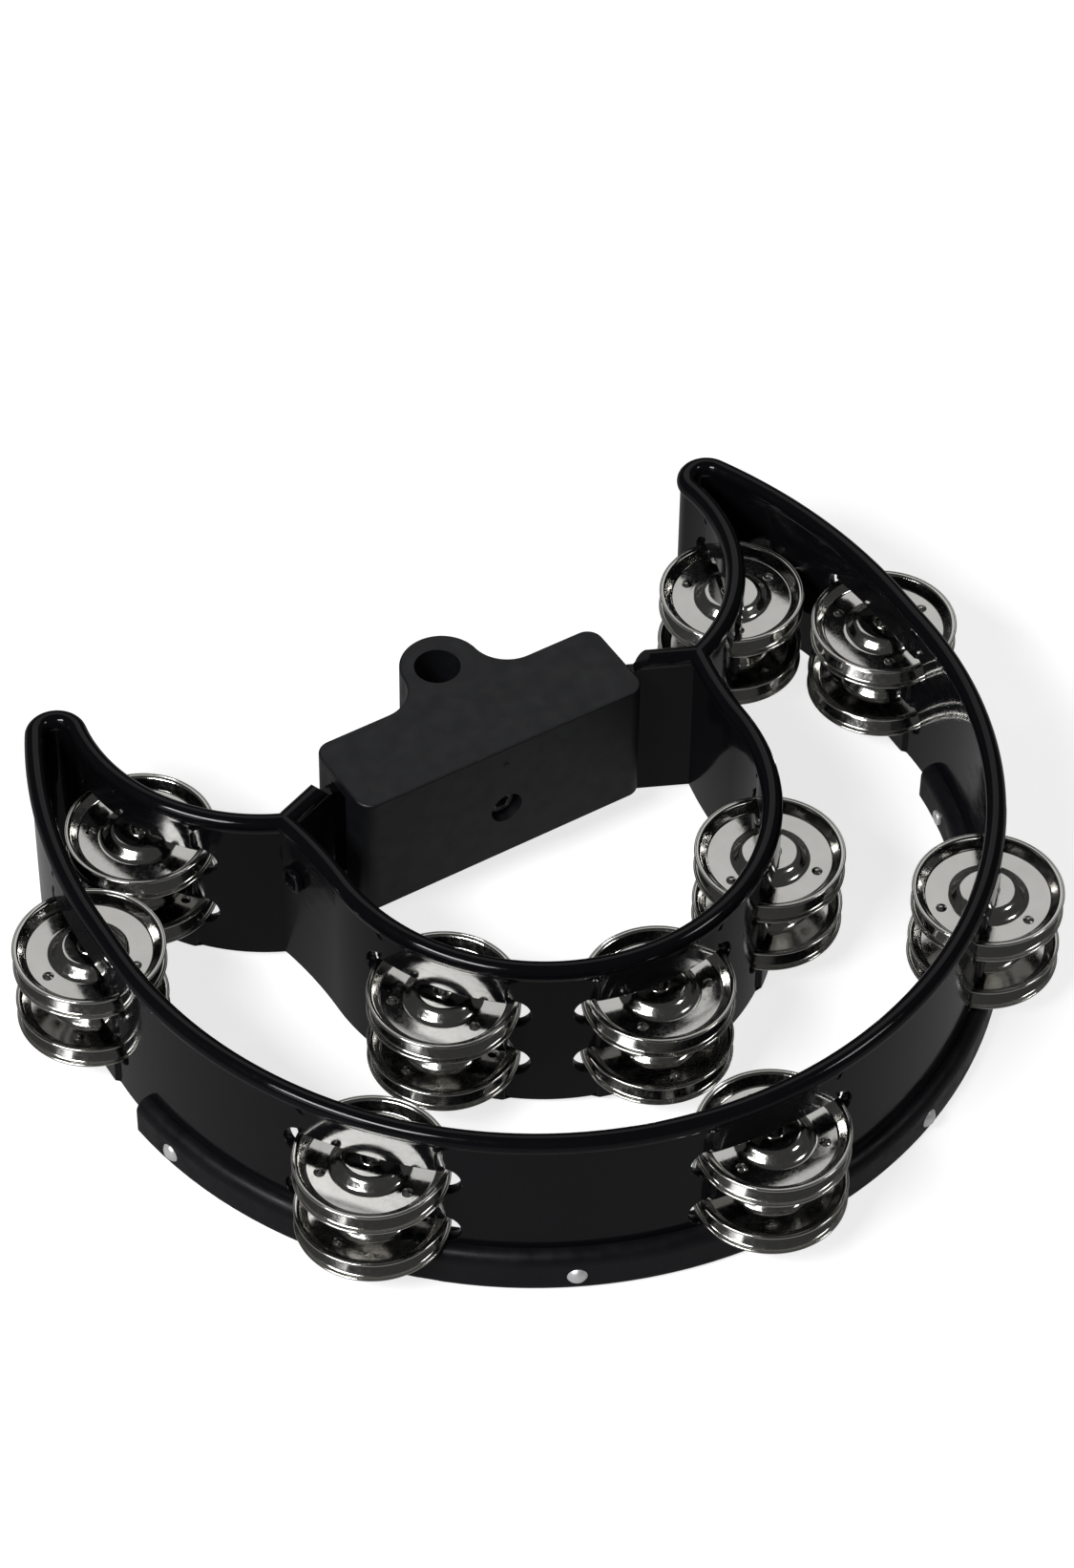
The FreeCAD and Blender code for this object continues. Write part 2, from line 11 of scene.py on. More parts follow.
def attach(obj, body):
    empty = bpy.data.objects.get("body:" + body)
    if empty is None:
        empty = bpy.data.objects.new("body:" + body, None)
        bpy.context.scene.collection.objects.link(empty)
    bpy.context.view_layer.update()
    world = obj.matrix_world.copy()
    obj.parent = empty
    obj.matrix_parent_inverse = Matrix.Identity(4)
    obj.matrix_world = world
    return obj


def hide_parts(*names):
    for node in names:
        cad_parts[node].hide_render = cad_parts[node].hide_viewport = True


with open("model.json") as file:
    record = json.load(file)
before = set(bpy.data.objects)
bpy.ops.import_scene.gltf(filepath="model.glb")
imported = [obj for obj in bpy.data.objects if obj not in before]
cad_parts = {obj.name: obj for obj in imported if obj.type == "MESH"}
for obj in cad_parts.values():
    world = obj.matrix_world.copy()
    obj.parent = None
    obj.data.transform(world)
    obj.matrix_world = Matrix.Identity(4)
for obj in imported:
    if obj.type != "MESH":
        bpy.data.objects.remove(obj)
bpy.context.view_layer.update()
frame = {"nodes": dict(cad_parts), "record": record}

# ---- dimensions in millimetres, with the handle on y = 0 ---------------------------------
MM = 0.001
HANDLE_TO_ORIGIN = 53.2
FRONT_R, FRONT_C = 116.1, (0.0, -26.7)
FLAT_LENGTH = 12.7
FLAT_R = 4000.0
SIDE_R = 142.0
SIDE_C = (FRONT_R - SIDE_R, FRONT_C[1] + FLAT_LENGTH)
HORN_R = 5.45
ARM_R, ARM_C = 50.4, (40.8, 39.1)
JUNCTION_DEG = -67.4
LOOP_R, LOOP_C = 57.5, (0.0, -31.9)
BAR_BEND = (43.6, -0.45)
WALL_HALF = 1.55
WALL_BOTTOM = 2.9
BEAD_R, BEAD_Z = 2.55, 49.3
BAR_TOP = 46.6
SLOT_HALF = 22.3
SLOTS = ((12.4, 21.6), (30.2, 39.5))
PAD_HALF_T = 2.55
PAD_HALF = 16.4
PAD_FLARE = 2.0
PAD_STEP = 0.7
EDGE_R = 0.35
FOOT_R = 0.5
BLEND = 0.25
BEAD_STOP = 16.6
BEAD_BEVEL = 0.75
CUP_Z = 36.0
CUP_HALF = 3.2
CUP_PROUD = 2.2
CUP_FROM_JUNCTION = 6.6
FRONT_STEP_DEG = 49.0
SIDE_STATION_ARC = 16.9
ARM_STATION_DEG = -22.9
LOOP_STEP_DEG = 54.7
PAIR_MIDS = {"upper": 33.75, "lower": 15.95}


# ---- plan geometry -----------------------------------------------------------------------
def polar(centre, radius, deg):
    """Point on a plan circle."""
    rad = math.radians(deg)
    return centre[0] + radius * math.cos(rad), centre[1] + radius * math.sin(rad)


def angle_to(centre, point):
    """Direction from one plan point to another, in degrees."""
    return math.degrees(math.atan2(point[1] - centre[1], point[0] - centre[0]))


def front_crossing(c1, r1, c2, r2):
    """Front crossing of two plan circles."""
    dx, dy = c2[0] - c1[0], c2[1] - c1[1]
    gap = math.hypot(dx, dy)
    along = (gap * gap + r1 * r1 - r2 * r2) / (2.0 * gap)
    off = math.sqrt(r1 * r1 - along * along)
    both = [(c1[0] + (along * dx - s * off * dy) / gap, c1[1] + (along * dy + s * off * dx) / gap)
            for s in (1.0, -1.0)]
    return min(both, key=lambda p: p[1])


HORN_C = front_crossing(SIDE_C, SIDE_R - HORN_R, ARM_C, ARM_R + HORN_R)
HORN_START = angle_to(SIDE_C, HORN_C)
HORN_END = angle_to(HORN_C, ARM_C) % 360.0
ARM_END = angle_to(ARM_C, HORN_C)
JUNCTION = polar(ARM_C, ARM_R, JUNCTION_DEG)
LEG_DX, LEG_DY = JUNCTION[0] - LOOP_R, JUNCTION[1] - LOOP_C[1]
LEG_R = (LEG_DX ** 2 + LEG_DY ** 2) / (2.0 * LEG_DX)
LEG_C = (LOOP_R + LEG_R, LOOP_C[1])
LEG_END = angle_to(LEG_C, JUNCTION) % 360.0


def left(point):
    """The point's mirror image on the left half."""
    return -point[0], point[1]


class Path:
    """Chain of tangent arcs in plan, walked by length."""

    def __init__(self, arcs):
        self.arcs = arcs
        lengths = [r * math.radians(abs(b - a)) for _, r, a, b in arcs]
        self.starts = np.concatenate([[0.0], np.cumsum(lengths)])
        self.length = self.starts[-1]

    def at(self, s):
        """Points, tangents and left-hand normals at lengths s."""
        s = np.asarray(s, dtype=float)
        point = np.zeros((len(s), 2))
        tangent = np.zeros((len(s), 2))
        index = np.clip(np.searchsorted(self.starts, s, side="right") - 1, 0, len(self.arcs) - 1)
        for i, (centre, radius, a, b) in enumerate(self.arcs):
            use = index == i
            turn = 1.0 if b > a else -1.0
            angle = np.radians(a) + turn * (s[use] - self.starts[i]) / radius
            radial = np.stack([np.cos(angle), np.sin(angle)], axis=1)
            point[use] = np.array(centre) + radius * radial
            tangent[use] = turn * np.stack([-radial[:, 1], radial[:, 0]], axis=1)
        normal = np.stack([-tangent[:, 1], tangent[:, 0]], axis=1)
        return point, tangent, normal

    def place(self, arc_index, deg):
        """Length at an angle of one arc."""
        _, radius, a, _ = self.arcs[arc_index]
        return self.starts[arc_index] + radius * math.radians(abs(deg - a))


SIDE_DEG = math.degrees((SIDE_STATION_ARC - FLAT_LENGTH) / SIDE_R)
FLAT_DEG = math.degrees(FLAT_LENGTH / FLAT_R)
FLAT_C = (FRONT_R - FLAT_R, SIDE_C[1])
RIM = Path([(ARM_C, ARM_R, JUNCTION_DEG, ARM_END), (HORN_C, HORN_R, HORN_END, HORN_START),
            (SIDE_C, SIDE_R, HORN_START, 0.0), (FLAT_C, FLAT_R, 0.0, -FLAT_DEG),
            (FRONT_C, FRONT_R, 0.0, -180.0), (left(FLAT_C), FLAT_R, 180.0 + FLAT_DEG, 180.0),
            (left(SIDE_C), SIDE_R, 180.0, 180.0 - HORN_START),
            (left(HORN_C), HORN_R, 180.0 - HORN_START, 180.0 - HORN_END),
            (left(ARM_C), ARM_R, 180.0 - ARM_END, 180.0 - JUNCTION_DEG)])
LOOP = Path([(LEG_C, LEG_R, LEG_END, 180.0), (LOOP_C, LOOP_R, 0.0, -180.0),
             (left(LEG_C), LEG_R, 0.0, 180.0 - LEG_END)])
RIM_STATIONS = {"arm_r": RIM.place(0, ARM_STATION_DEG), "side_r": RIM.place(2, SIDE_DEG),
                "front_r": RIM.place(4, -90.0 + FRONT_STEP_DEG), "front_m": RIM.place(4, -90.0),
                "front_l": RIM.place(4, -90.0 - FRONT_STEP_DEG), "side_l": RIM.place(6, 180.0 - SIDE_DEG),
                "arm_l": RIM.place(8, 180.0 - ARM_STATION_DEG)}
LOOP_STATIONS = {"loop_r": LOOP.place(1, -90.0 + LOOP_STEP_DEG), "loop_m": LOOP.place(1, -90.0),
                 "loop_l": LOOP.place(1, -90.0 - LOOP_STEP_DEG)}


# ---- mesh helpers ------------------------------------------------------------------------
class Shell:
    """Vertices in millimetres with a normal each, and faces."""

    def __init__(self):
        self.points, self.normals, self.faces, self.count = [], [], [], 0

    def add(self, points, normals, faces):
        """Append a patch; its faces count from its own first point."""
        self.points.append(np.asarray(points, dtype=float))
        self.normals.append(np.asarray(normals, dtype=float))
        self.faces += [tuple(int(i) + self.count for i in f) for f in faces]
        self.count += len(points)

    def mesh(self, name, look, shift=(0.0, HANDLE_TO_ORIGIN, 0.0)):
        """Smooth mesh data in metres, with the normals as given."""
        points = np.vstack(self.points) + np.array(shift)
        normals = np.vstack(self.normals)
        normals /= np.maximum(np.linalg.norm(normals, axis=1, keepdims=True), 1e-9)
        faces = [self.facing_out(f, points, normals) for f in self.faces]
        data = bpy.data.meshes.new(name)
        data.from_pydata((points * MM).tolist(), [], faces)
        data.polygons.foreach_set("use_smooth", [True] * len(data.polygons))
        data.normals_split_custom_set_from_vertices(normals.tolist())
        data.materials.append(look)
        return data

    @staticmethod
    def facing_out(face, points, normals):
        """The face, wound to agree with the normals at its corners."""
        around = points[list(face)]
        ahead = np.roll(around, -1, axis=0)
        area = np.cross(around, ahead).sum(axis=0)
        return face if area @ normals[list(face)].sum(axis=0) >= 0 else face[::-1]


def grid_faces(rows, columns, wrap=False, flip=False):
    """Quads of a row-major grid of points; wrap joins the last column to the first."""
    faces = []
    for r in range(rows - 1):
        for c in range(columns if wrap else columns - 1):
            d = (c + 1) % columns
            quad = (r * columns + c, r * columns + d, (r + 1) * columns + d, (r + 1) * columns + c)
            faces.append(quad[::-1] if flip else quad)
    return faces


def link(data, name, body):
    """Object that shows a mesh and rides on a body."""
    obj = bpy.data.objects.new(name, data)
    bpy.context.collection.objects.link(obj)
    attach(obj, body)
    return obj


# ---- frame wall --------------------------------------------------------------------------
BEAD_LINES = [46.9, 47.1, 47.3, 47.5, 47.75, 48.1, 48.6, 49.0, BEAD_Z]
MID_LINES = [8.0, 12.0, 16.0, 20.0, 24.0, 28.0, 32.0, 36.0, 40.0, 44.0]
CAP_STEPS = 14
STEP = 1.8                      # spacing of the wall's columns
TIGHT_STEP = 0.45               # the same round the horns
TIGHT_R = 20.0                  # arcs below this radius take the tight spacing
PANEL_MARGIN = 2.2              # a station's panel reaches this far past its slots
EDGE_RINGS = (0.0, 0.06, 0.25, 0.6, 1.0)    # where a rounded edge has lines, as parts of its radius
FOOT_LINES = [WALL_BOTTOM + FOOT_R * t for t in EDGE_RINGS]
WALL_LINES = FOOT_LINES + MID_LINES + BEAD_LINES


def round_over(distance, radius):
    """Depth lost and slope where a face rounds over towards an edge."""
    d = np.clip(distance, 0.004 * radius, radius)
    root = np.sqrt(np.maximum(radius ** 2 - (radius - d) ** 2, 1e-9))
    return radius - root, (radius - d) / root


def slot_distance(u, z, slot):
    """Signed distance to a slot edge and its gradient, u from the station."""
    half_h = (slot[1] - slot[0]) / 2.0
    dx = np.maximum(np.abs(u) - (SLOT_HALF - half_h), 0.0)
    dz = z - (slot[0] + slot[1]) / 2.0
    far = np.maximum(np.hypot(dx, dz), 1e-6)
    return far - half_h, np.sign(u) * dx / far, dz / far


def pad_half(z):
    """Half length of a pad at a height: it flares where it meets a slot or the bead."""
    edges = np.array([SLOTS[0][0], SLOTS[0][1], SLOTS[1][0], SLOTS[1][1], BEAD_Z - BEAD_R])
    near = np.min(np.abs(np.asarray(z)[..., None] - edges), axis=-1)
    t = np.clip(near / PAD_FLARE, 0.0, 1.0)
    return PAD_HALF + PAD_FLARE * (1.0 - np.sqrt(1.0 - (1.0 - t) ** 2))


def base_offset(u, z):
    """Half thickness of the wall before its edges are rounded."""
    t = np.clip((pad_half(z) - np.abs(u)) / PAD_STEP + 0.5, 0.0, 1.0)
    half = WALL_HALF + (PAD_HALF_T - WALL_HALF) * t * t * (3.0 - 2.0 * t)
    bead = np.sqrt(np.maximum(BEAD_R ** 2 - (BEAD_Z - z) ** 2, 0.0))
    gap = np.clip(0.5 + 0.5 * (bead - half) / BLEND, 0.0, 1.0)
    return half * (1.0 - gap) + bead * gap + BLEND * gap * (1.0 - gap)


def wall_surface(path, s, z, station):
    """Front and back points and normals of the wall at lengths s and heights z."""
    s, z = np.asarray(s, dtype=float), np.asarray(z, dtype=float)
    u = s - station if station is not None else np.full(len(s), 1e3)
    eps = 0.01
    off = base_offset(u, z)
    off_s = (base_offset(u + eps, z) - base_offset(u - eps, z)) / (2 * eps)
    top = np.minimum(z + eps, BEAD_Z)
    off_z = (base_offset(u, top) - base_offset(u, z - eps)) / (top - z + eps)
    lost, slope = round_over(z - WALL_BOTTOM, FOOT_R)
    off, off_z = off - lost, off_z + slope
    if station is not None:
        for slot in SLOTS:
            distance, gs, gz = slot_distance(u, z, slot)
            lost, slope = round_over(distance, EDGE_R)
            off, off_s, off_z = off - lost, off_s + slope * gs, off_z + slope * gz
    point, tangent, normal = path.at(s)
    sides = []
    for sign in (1.0, -1.0):
        xyz = np.column_stack([point + sign * normal * off[:, None], z])
        n = np.column_stack([sign * normal - tangent * off_s[:, None], -off_z])
        sides.append((xyz, n))
    return sides


def add_two_sided(shell, path, s, z, faces, station, edges):
    """Add both faces of a wall patch and the strip that joins them along its open edges."""
    (front, fn), (back, bn) = wall_surface(path, s, z, station)
    n = len(front)
    both = [tuple(f[::-1]) for f in faces] + [tuple(i + n for i in f) for f in faces]
    both += [(a, b, b + n, a + n) for a, b in edges]
    shell.add(np.vstack([front, back]), np.vstack([fn, bn]), both)


def add_plain(shell, path, lengths):
    """Wall without a station over a run of lengths."""
    rows, columns = len(WALL_LINES), len(lengths)
    s = np.tile(lengths, rows)
    z = np.repeat(WALL_LINES, columns)
    edges = [(c, c + 1) for c in range(columns - 1)]
    add_two_sided(shell, path, s, z, grid_faces(rows, columns), None, edges)


def slot_ring(slot, distance, steps=14):
    """Closed outline round a slot at a distance from its edge."""
    half_h = (slot[1] - slot[0]) / 2.0
    mid = (slot[0] + slot[1]) / 2.0
    reach = SLOT_HALF - half_h
    radius = half_h + distance
    right = [(reach + radius * math.cos(a), mid + radius * math.sin(a))
             for a in np.linspace(-math.pi / 2, math.pi / 2, steps + 1)]
    top = [(x, mid + radius) for x in np.linspace(reach, -reach, 22)[1:-1]]
    return right + top + [(-x, 2 * mid - z) for x, z in right] + [(-x, 2 * mid - z) for x, z in top]


def pad_ribs():
    """Lines that follow a pad's ends, as open chains of (u, z)."""
    runs = ((FOOT_LINES[-1], SLOTS[0][0]), (SLOTS[0][1], SLOTS[1][0]), (SLOTS[1][1], BEAD_LINES[0]))
    chains = []
    for low, high in runs:
        heights = np.linspace(low + 0.02, high - 0.02, 13)
        for step in (-0.5, -0.25, 0.0, 0.25, 0.5):
            for side in (1.0, -1.0):
                chains.append([(side * (h + step * PAD_STEP), z) for h, z in zip(pad_half(heights), heights)])
    return chains


def add_station(shell, path, station, lengths):
    """Wall panel with its two slots and thickened pad."""
    u0, u1 = lengths[0] - station, lengths[-1] - station
    us = [s - station for s in lengths]
    verts, edges = [], []

    def chain(points, closed=False):
        first = len(verts)
        verts.extend(points)
        edges.extend((first + i, first + i + 1) for i in range(len(points) - 1))
        if closed:
            edges.append((first + len(points) - 1, first))

    for line in FOOT_LINES + BEAD_LINES:
        chain([(u, line) for u in us])
    for side in (u0, u1):
        chain([(side, z) for z in WALL_LINES])
    for slot in SLOTS:
        for t in EDGE_RINGS:
            chain(slot_ring(slot, EDGE_R * t), closed=True)
    for points in pad_ribs():
        chain(points)
    for u in us[1:-1]:
        for z in MID_LINES:
            clear = min(slot_distance(np.array([u]), np.array([z]), slot)[0][0] for slot in SLOTS)
            if clear > EDGE_R + 0.4 and abs(abs(u) - pad_half(np.array([z]))[0]) > PAD_STEP:
                verts.append((u, z))
    flat = [Vector(v) for v in verts]
    points, _, faces, *_ = delaunay_2d_cdt(flat, edges, [], 0, 1e-5)
    uz = np.array([(p.x, p.y) for p in points])
    kept = []
    for face in faces:
        mid = uz[list(face)].mean(axis=0)
        inside = min(slot_distance(mid[:1], mid[1:], slot)[0][0] for slot in SLOTS) < 0.0
        if not inside:
            kept.append(tuple(face))
    rim = []
    directed = {(a, b) for face in kept for a, b in zip(face, face[1:] + face[:1])}
    for a, b in directed:
        if (b, a) not in directed:
            on_side = abs(uz[a, 0] - uz[b, 0]) < 1e-4 and min(abs(uz[a, 0] - u0), abs(uz[a, 0] - u1)) < 1e-3
            on_top = min(uz[a, 1], uz[b, 1]) > BEAD_Z - 1e-3
            if not on_side and not on_top:
                rim.append((a, b))
    uz[:, 1] = np.clip(uz[:, 1], WALL_BOTTOM, BEAD_Z)
    add_two_sided(shell, path, uz[:, 0] + station, uz[:, 1], kept, station, rim)


def add_cap(shell, path, lengths):
    """Upper half of the bead along a run of lengths."""
    point, _, normal = path.at(lengths)
    rows = []
    directions = []
    for angle in np.linspace(0.0, math.pi, CAP_STEPS + 1):
        out, up = math.cos(angle), math.sin(angle)
        height = np.full(len(point), BEAD_Z + BEAD_R * up)
        rows.append(np.column_stack([point + normal * BEAD_R * out, height]))
        directions.append(np.column_stack([normal * out, np.full(len(point), up)]))
    shell.add(np.vstack(rows), np.vstack(directions), grid_faces(CAP_STEPS + 1, len(point), flip=True))


def sample_path(path, stations):
    """Runs of lengths: plain stretches and station panels, meeting exactly."""
    reach = SLOT_HALF + PANEL_MARGIN
    marks = [0.0]
    for s in sorted(stations):
        marks += [s - reach, s + reach]
    marks.append(path.length)
    runs = []
    for i, (a, b) in enumerate(zip(marks, marks[1:])):
        cuts = [a, b] + [c for c in path.starts if a + 0.5 < c < b - 0.5]
        lengths = []
        for c, d in zip(sorted(cuts), sorted(cuts)[1:]):
            tight = path.arcs[int(np.searchsorted(path.starts, (c + d) / 2) - 1)][1] < TIGHT_R
            count = max(2, int(math.ceil((d - c) / (TIGHT_STEP if tight else STEP))))
            lengths += list(np.linspace(c, d, count + 1)[:-1])
        runs.append((i % 2 == 1, np.array(lengths + [b])))
    return runs


def add_walls(shell, path, stations):
    """Whole wall along a path, with its stations and the bead on top."""
    ordered = sorted(stations)
    index = 0
    for is_station, lengths in sample_path(path, ordered):
        if is_station:
            add_station(shell, path, ordered[index], lengths)
            index += 1
        else:
            add_plain(shell, path, lengths)
        add_cap(shell, path, lengths)


def add_post(shell, point, radius, bottom, top, steps=32):
    """Side of an upright cylinder."""
    angles = np.linspace(0.0, 2 * math.pi, steps, endpoint=False)
    ring = np.column_stack([np.cos(angles), np.sin(angles)])
    rows = [np.column_stack([np.array(point) + ring * radius, np.full(steps, z)]) for z in (bottom, top)]
    flat = np.column_stack([ring, np.zeros(steps)])
    shell.add(np.vstack(rows), np.vstack([flat, flat]), grid_faces(2, steps, wrap=True))


def add_dome(shell, point, radius, z, steps=32, rings=10):
    """Whole sphere, for the knot of the bead at a junction."""
    rows, directions = [], []
    for phi in np.linspace(-math.pi / 2, math.pi / 2, 2 * rings + 1):
        angles = np.linspace(0.0, 2 * math.pi, steps, endpoint=False)
        out = np.column_stack([np.cos(angles) * math.cos(phi), np.sin(angles) * math.cos(phi),
                               np.full(steps, math.sin(phi))])
        directions.append(out)
        rows.append(np.array([point[0], point[1], z]) + out * radius)
    shell.add(np.vstack(rows), np.vstack(directions), grid_faces(2 * rings + 1, steps, wrap=True))


# ---- handle bars and loop cup ------------------------------------------------------------
class Line:
    """Straight plan run, used like a Path."""

    def __init__(self, start, end):
        self.start = np.array(start)
        self.length = math.dist(start, end)
        self.tangent = (np.array(end) - self.start) / self.length

    def at(self, s):
        s = np.asarray(s, dtype=float)
        tangent = np.tile(self.tangent, (len(s), 1))
        normal = np.stack([-tangent[:, 1], tangent[:, 0]], axis=1)
        return self.start + tangent * s[:, None], tangent, normal


def add_low_wall(shell, start, end):
    """Plain wall without a bead, up to the low top inside the block."""
    line = Line(start, end)
    lengths = np.array([0.0, line.length])
    lines = FOOT_LINES + [BAR_TOP]
    s, z = np.tile(lengths, len(lines)), np.repeat(lines, 2)
    add_two_sided(shell, line, s, z, grid_faces(len(lines), 2), None, [(0, 1)])
    point, _, normal = line.at(lengths)
    top = np.vstack([np.column_stack([point + side * normal * WALL_HALF, [BAR_TOP] * 2]) for side in (1, -1)])
    shell.add(top, [(0, 0, 1)] * 4, [(0, 2, 3, 1)])


def bead_outline():
    """Section of the bead above the low wall: offset, height and normal."""
    zz = np.array([BAR_TOP] + BEAD_LINES[:-1])
    off = base_offset(np.full(len(zz), 1e3), zz)
    slope = (base_offset(np.full(len(zz), 1e3), zz + 0.01) - off) / 0.01
    right = [(o, h, 1.0, -d) for o, h, d in zip(off, zz, slope)]
    round_part = [(BEAD_R * math.cos(a), BEAD_Z + BEAD_R * math.sin(a), math.cos(a), math.sin(a))
                  for a in np.linspace(0.0, math.pi, CAP_STEPS + 1)]
    back = [(-o, h, -n, m) for o, h, n, m in reversed(right)]
    return right + round_part + back


def add_bar_bead(shell, start, end):
    """Bead of a handle bar, bevelled off before the block."""
    line = Line(start, end)
    outline = bead_outline()
    steps = 14
    points, normals, last = [], [], []
    for off, height, n_off, n_up in outline:
        stop = BEAD_STOP - (height - BAR_TOP) * BEAD_BEVEL
        s = np.linspace(0.0, stop, steps)
        point, _, normal = line.at(s)
        points.append(np.column_stack([point + normal * off, np.full(steps, height)]))
        normals.append(np.column_stack([normal * n_off, np.full(steps, n_up)]))
        last.append(points[-1][-1])
    shell.add(np.vstack(points), np.vstack(normals), grid_faces(len(outline), steps, flip=True))
    facing = np.append(line.tangent, BEAD_BEVEL)
    shell.add(last, [facing] * len(last), [tuple(range(len(last)))])


def add_cup(shell, mirror):
    """Small rounded cup on the outer side of a loop leg."""
    deg = LEG_END + math.degrees(CUP_FROM_JUNCTION / LEG_R)
    at = np.array(polar(LEG_C, LEG_R, deg))
    out = np.array(polar((0, 0), 1.0, deg + 180.0))
    side = np.array([-out[1], out[0]])
    sections = [(0.5, 1.0, 0.0), (CUP_PROUD - 0.4, 1.0, 0.1), (CUP_PROUD - 0.12, 0.965, 0.7),
                (CUP_PROUD, 0.90, 1.0), (CUP_PROUD, 0.74, 1.0), (CUP_PROUD - 0.2, 0.70, 0.3),
                (0.5, 0.66, -0.1)]
    steps = 40
    points, normals = [], []
    for reach, scale, tip in sections:
        for a in np.linspace(0.0, 2 * math.pi, steps, endpoint=False):
            c, s = math.cos(a), math.sin(a)
            u = math.copysign(abs(c) ** 0.6, c) * CUP_HALF * scale
            w = math.copysign(abs(s) ** 0.6, s) * CUP_HALF * scale
            spot = at + out * (WALL_HALF + reach) + side * u
            sign = -1.0 if scale < 0.73 else 1.0
            n = np.append(out * tip + side * c * sign * (1 - abs(tip)), s * sign * (1 - abs(tip)))
            points.append((spot[0], spot[1], CUP_Z + w))
            normals.append(n)
    points, normals = np.array(points), np.array(normals)
    faces = grid_faces(len(sections), steps, wrap=True, flip=mirror)
    floor = len(points) - steps
    if mirror:
        points[:, 0] *= -1.0
        normals[:, 0] *= -1.0
    shell.add(points, normals, faces)
    facing = (-out[0] if mirror else out[0], out[1], 0.0)
    shell.add(points[floor:], [facing] * steps, [tuple(range(steps))])


def make_frame(look):
    """The black moulding in one mesh: rim, loop, handle bars and cups."""
    shell = Shell()
    add_walls(shell, RIM, RIM_STATIONS.values())
    add_walls(shell, LOOP, LOOP_STATIONS.values())
    add_low_wall(shell, left(BAR_BEND), BAR_BEND)
    for mirror in (False, True):
        knot, bend = (left(JUNCTION), left(BAR_BEND)) if mirror else (JUNCTION, BAR_BEND)
        add_low_wall(shell, knot, bend)
        add_bar_bead(shell, knot, bend)
        add_post(shell, bend, WALL_HALF, WALL_BOTTOM, BAR_TOP)
        add_cup(shell, mirror)
        add_post(shell, knot, WALL_HALF, WALL_BOTTOM, BEAD_Z)
        add_dome(shell, knot, BEAD_R, BEAD_Z)
    return link(shell.mesh("frame_look", look), "frame_look", "tambourine")


# ---- turned pieces: the jingle plates ------------------------------------------------------
SHEET_T = 0.45
PLATE_R = 19.1
DISH = 2.45
RIM_OUT_R, RIM_IN_R = 17.9, 15.9
HUB_BASE_R, HUB_TOP_R = 9.7, 7.1
EYE_R, EYE_BEAD_R = 2.62, 0.4
LIP_BEAD_R = 0.34
HUB_BEND_R, RIM_BEND_R = 2.7, 1.0
DIMPLE_AT_R, DIMPLE_R, DIMPLE_RISE = 12.6, 1.5, 0.55
PAIR_GAP = 0.1
PLATE_STEPS = 128
# angle of the first dimple of each upper top plate
DIMPLE_TURNS = {"side_r": 5, "front_r": 50, "front_m": 82, "front_l": 44, "side_l": 70,
                "arm_r": 8, "loop_r": 69, "loop_m": 101, "loop_l": 38, "arm_l": 26}
ROW_TURN = {("upper", "a"): 0, ("upper", "b"): 51, ("lower", "a"): 37, ("lower", "b"): 83}


def rounded_line(corners, radii, arc_steps=8):
    """Points along a polyline whose inner corners are rounded."""
    pts = [np.array(c, dtype=float) for c in corners]
    line = [pts[0]]
    for i, radius in zip(range(1, len(pts) - 1), radii):
        back, ahead = pts[i - 1] - pts[i], pts[i + 1] - pts[i]
        back, ahead = back / np.linalg.norm(back), ahead / np.linalg.norm(ahead)
        half = math.acos(float(np.clip(back @ ahead, -1, 1))) / 2.0
        reach = radius / math.tan(half)
        start, end = pts[i] + back * reach, pts[i] + ahead * reach
        centre = pts[i] + (back + ahead) / np.linalg.norm(back + ahead) * radius / math.sin(half)
        a, b = start - centre, end - centre
        turn = math.acos(float(np.clip(a @ b / radius ** 2, -1, 1)))
        for t in np.linspace(0.0, 1.0, arc_steps + 1):
            line.append(centre + (a * math.sin((1 - t) * turn) + b * math.sin(t * turn)) / math.sin(turn))
    line.append(pts[-1])
    return line


def shifted(corners, distance):
    """Polyline moved to its left, mitred."""
    pts = np.array(corners, dtype=float)
    run = np.diff(pts, axis=0)
    run /= np.linalg.norm(run, axis=1)[:, None]
    normal = np.column_stack([-run[:, 1], run[:, 0]])
    before, after = np.vstack([normal[:1], normal]), np.vstack([normal, normal[-1:]])
    return pts + (before + after) * (distance / (1.0 + (before * after).sum(axis=1)))[:, None]


def add_lathe(shell, outline, steps, cuts):
    """Turn closed runs of (radius, height) round the upright axis; cuts start new smooth runs."""
    for a, b in zip(cuts, cuts[1:]):
        run = np.array(outline[a:b + 1])
        tangent = np.gradient(run, axis=0)
        tangent /= np.linalg.norm(tangent, axis=1)[:, None]
        points, normals = [], []
        for (r, h), (tr, th) in zip(run, tangent):
            angle = np.linspace(0.0, 2 * math.pi, steps, endpoint=False)
            c, s = np.cos(angle), np.sin(angle)
            points.append(np.column_stack([r * c, r * s, np.full(steps, h)]))
            normals.append(np.column_stack([-th * c, -th * s, np.full(steps, tr)]))
        shell.add(np.vstack(points), np.vstack(normals), grid_faces(len(run), steps, wrap=True))


def bead_arc(centre, radius, start, end, steps=9):
    """Points along an arc, from one angle to another in degrees."""
    return [np.array(centre) + radius * np.array([math.cos(a), math.sin(a)])
            for a in np.radians(np.linspace(start, end, steps))]


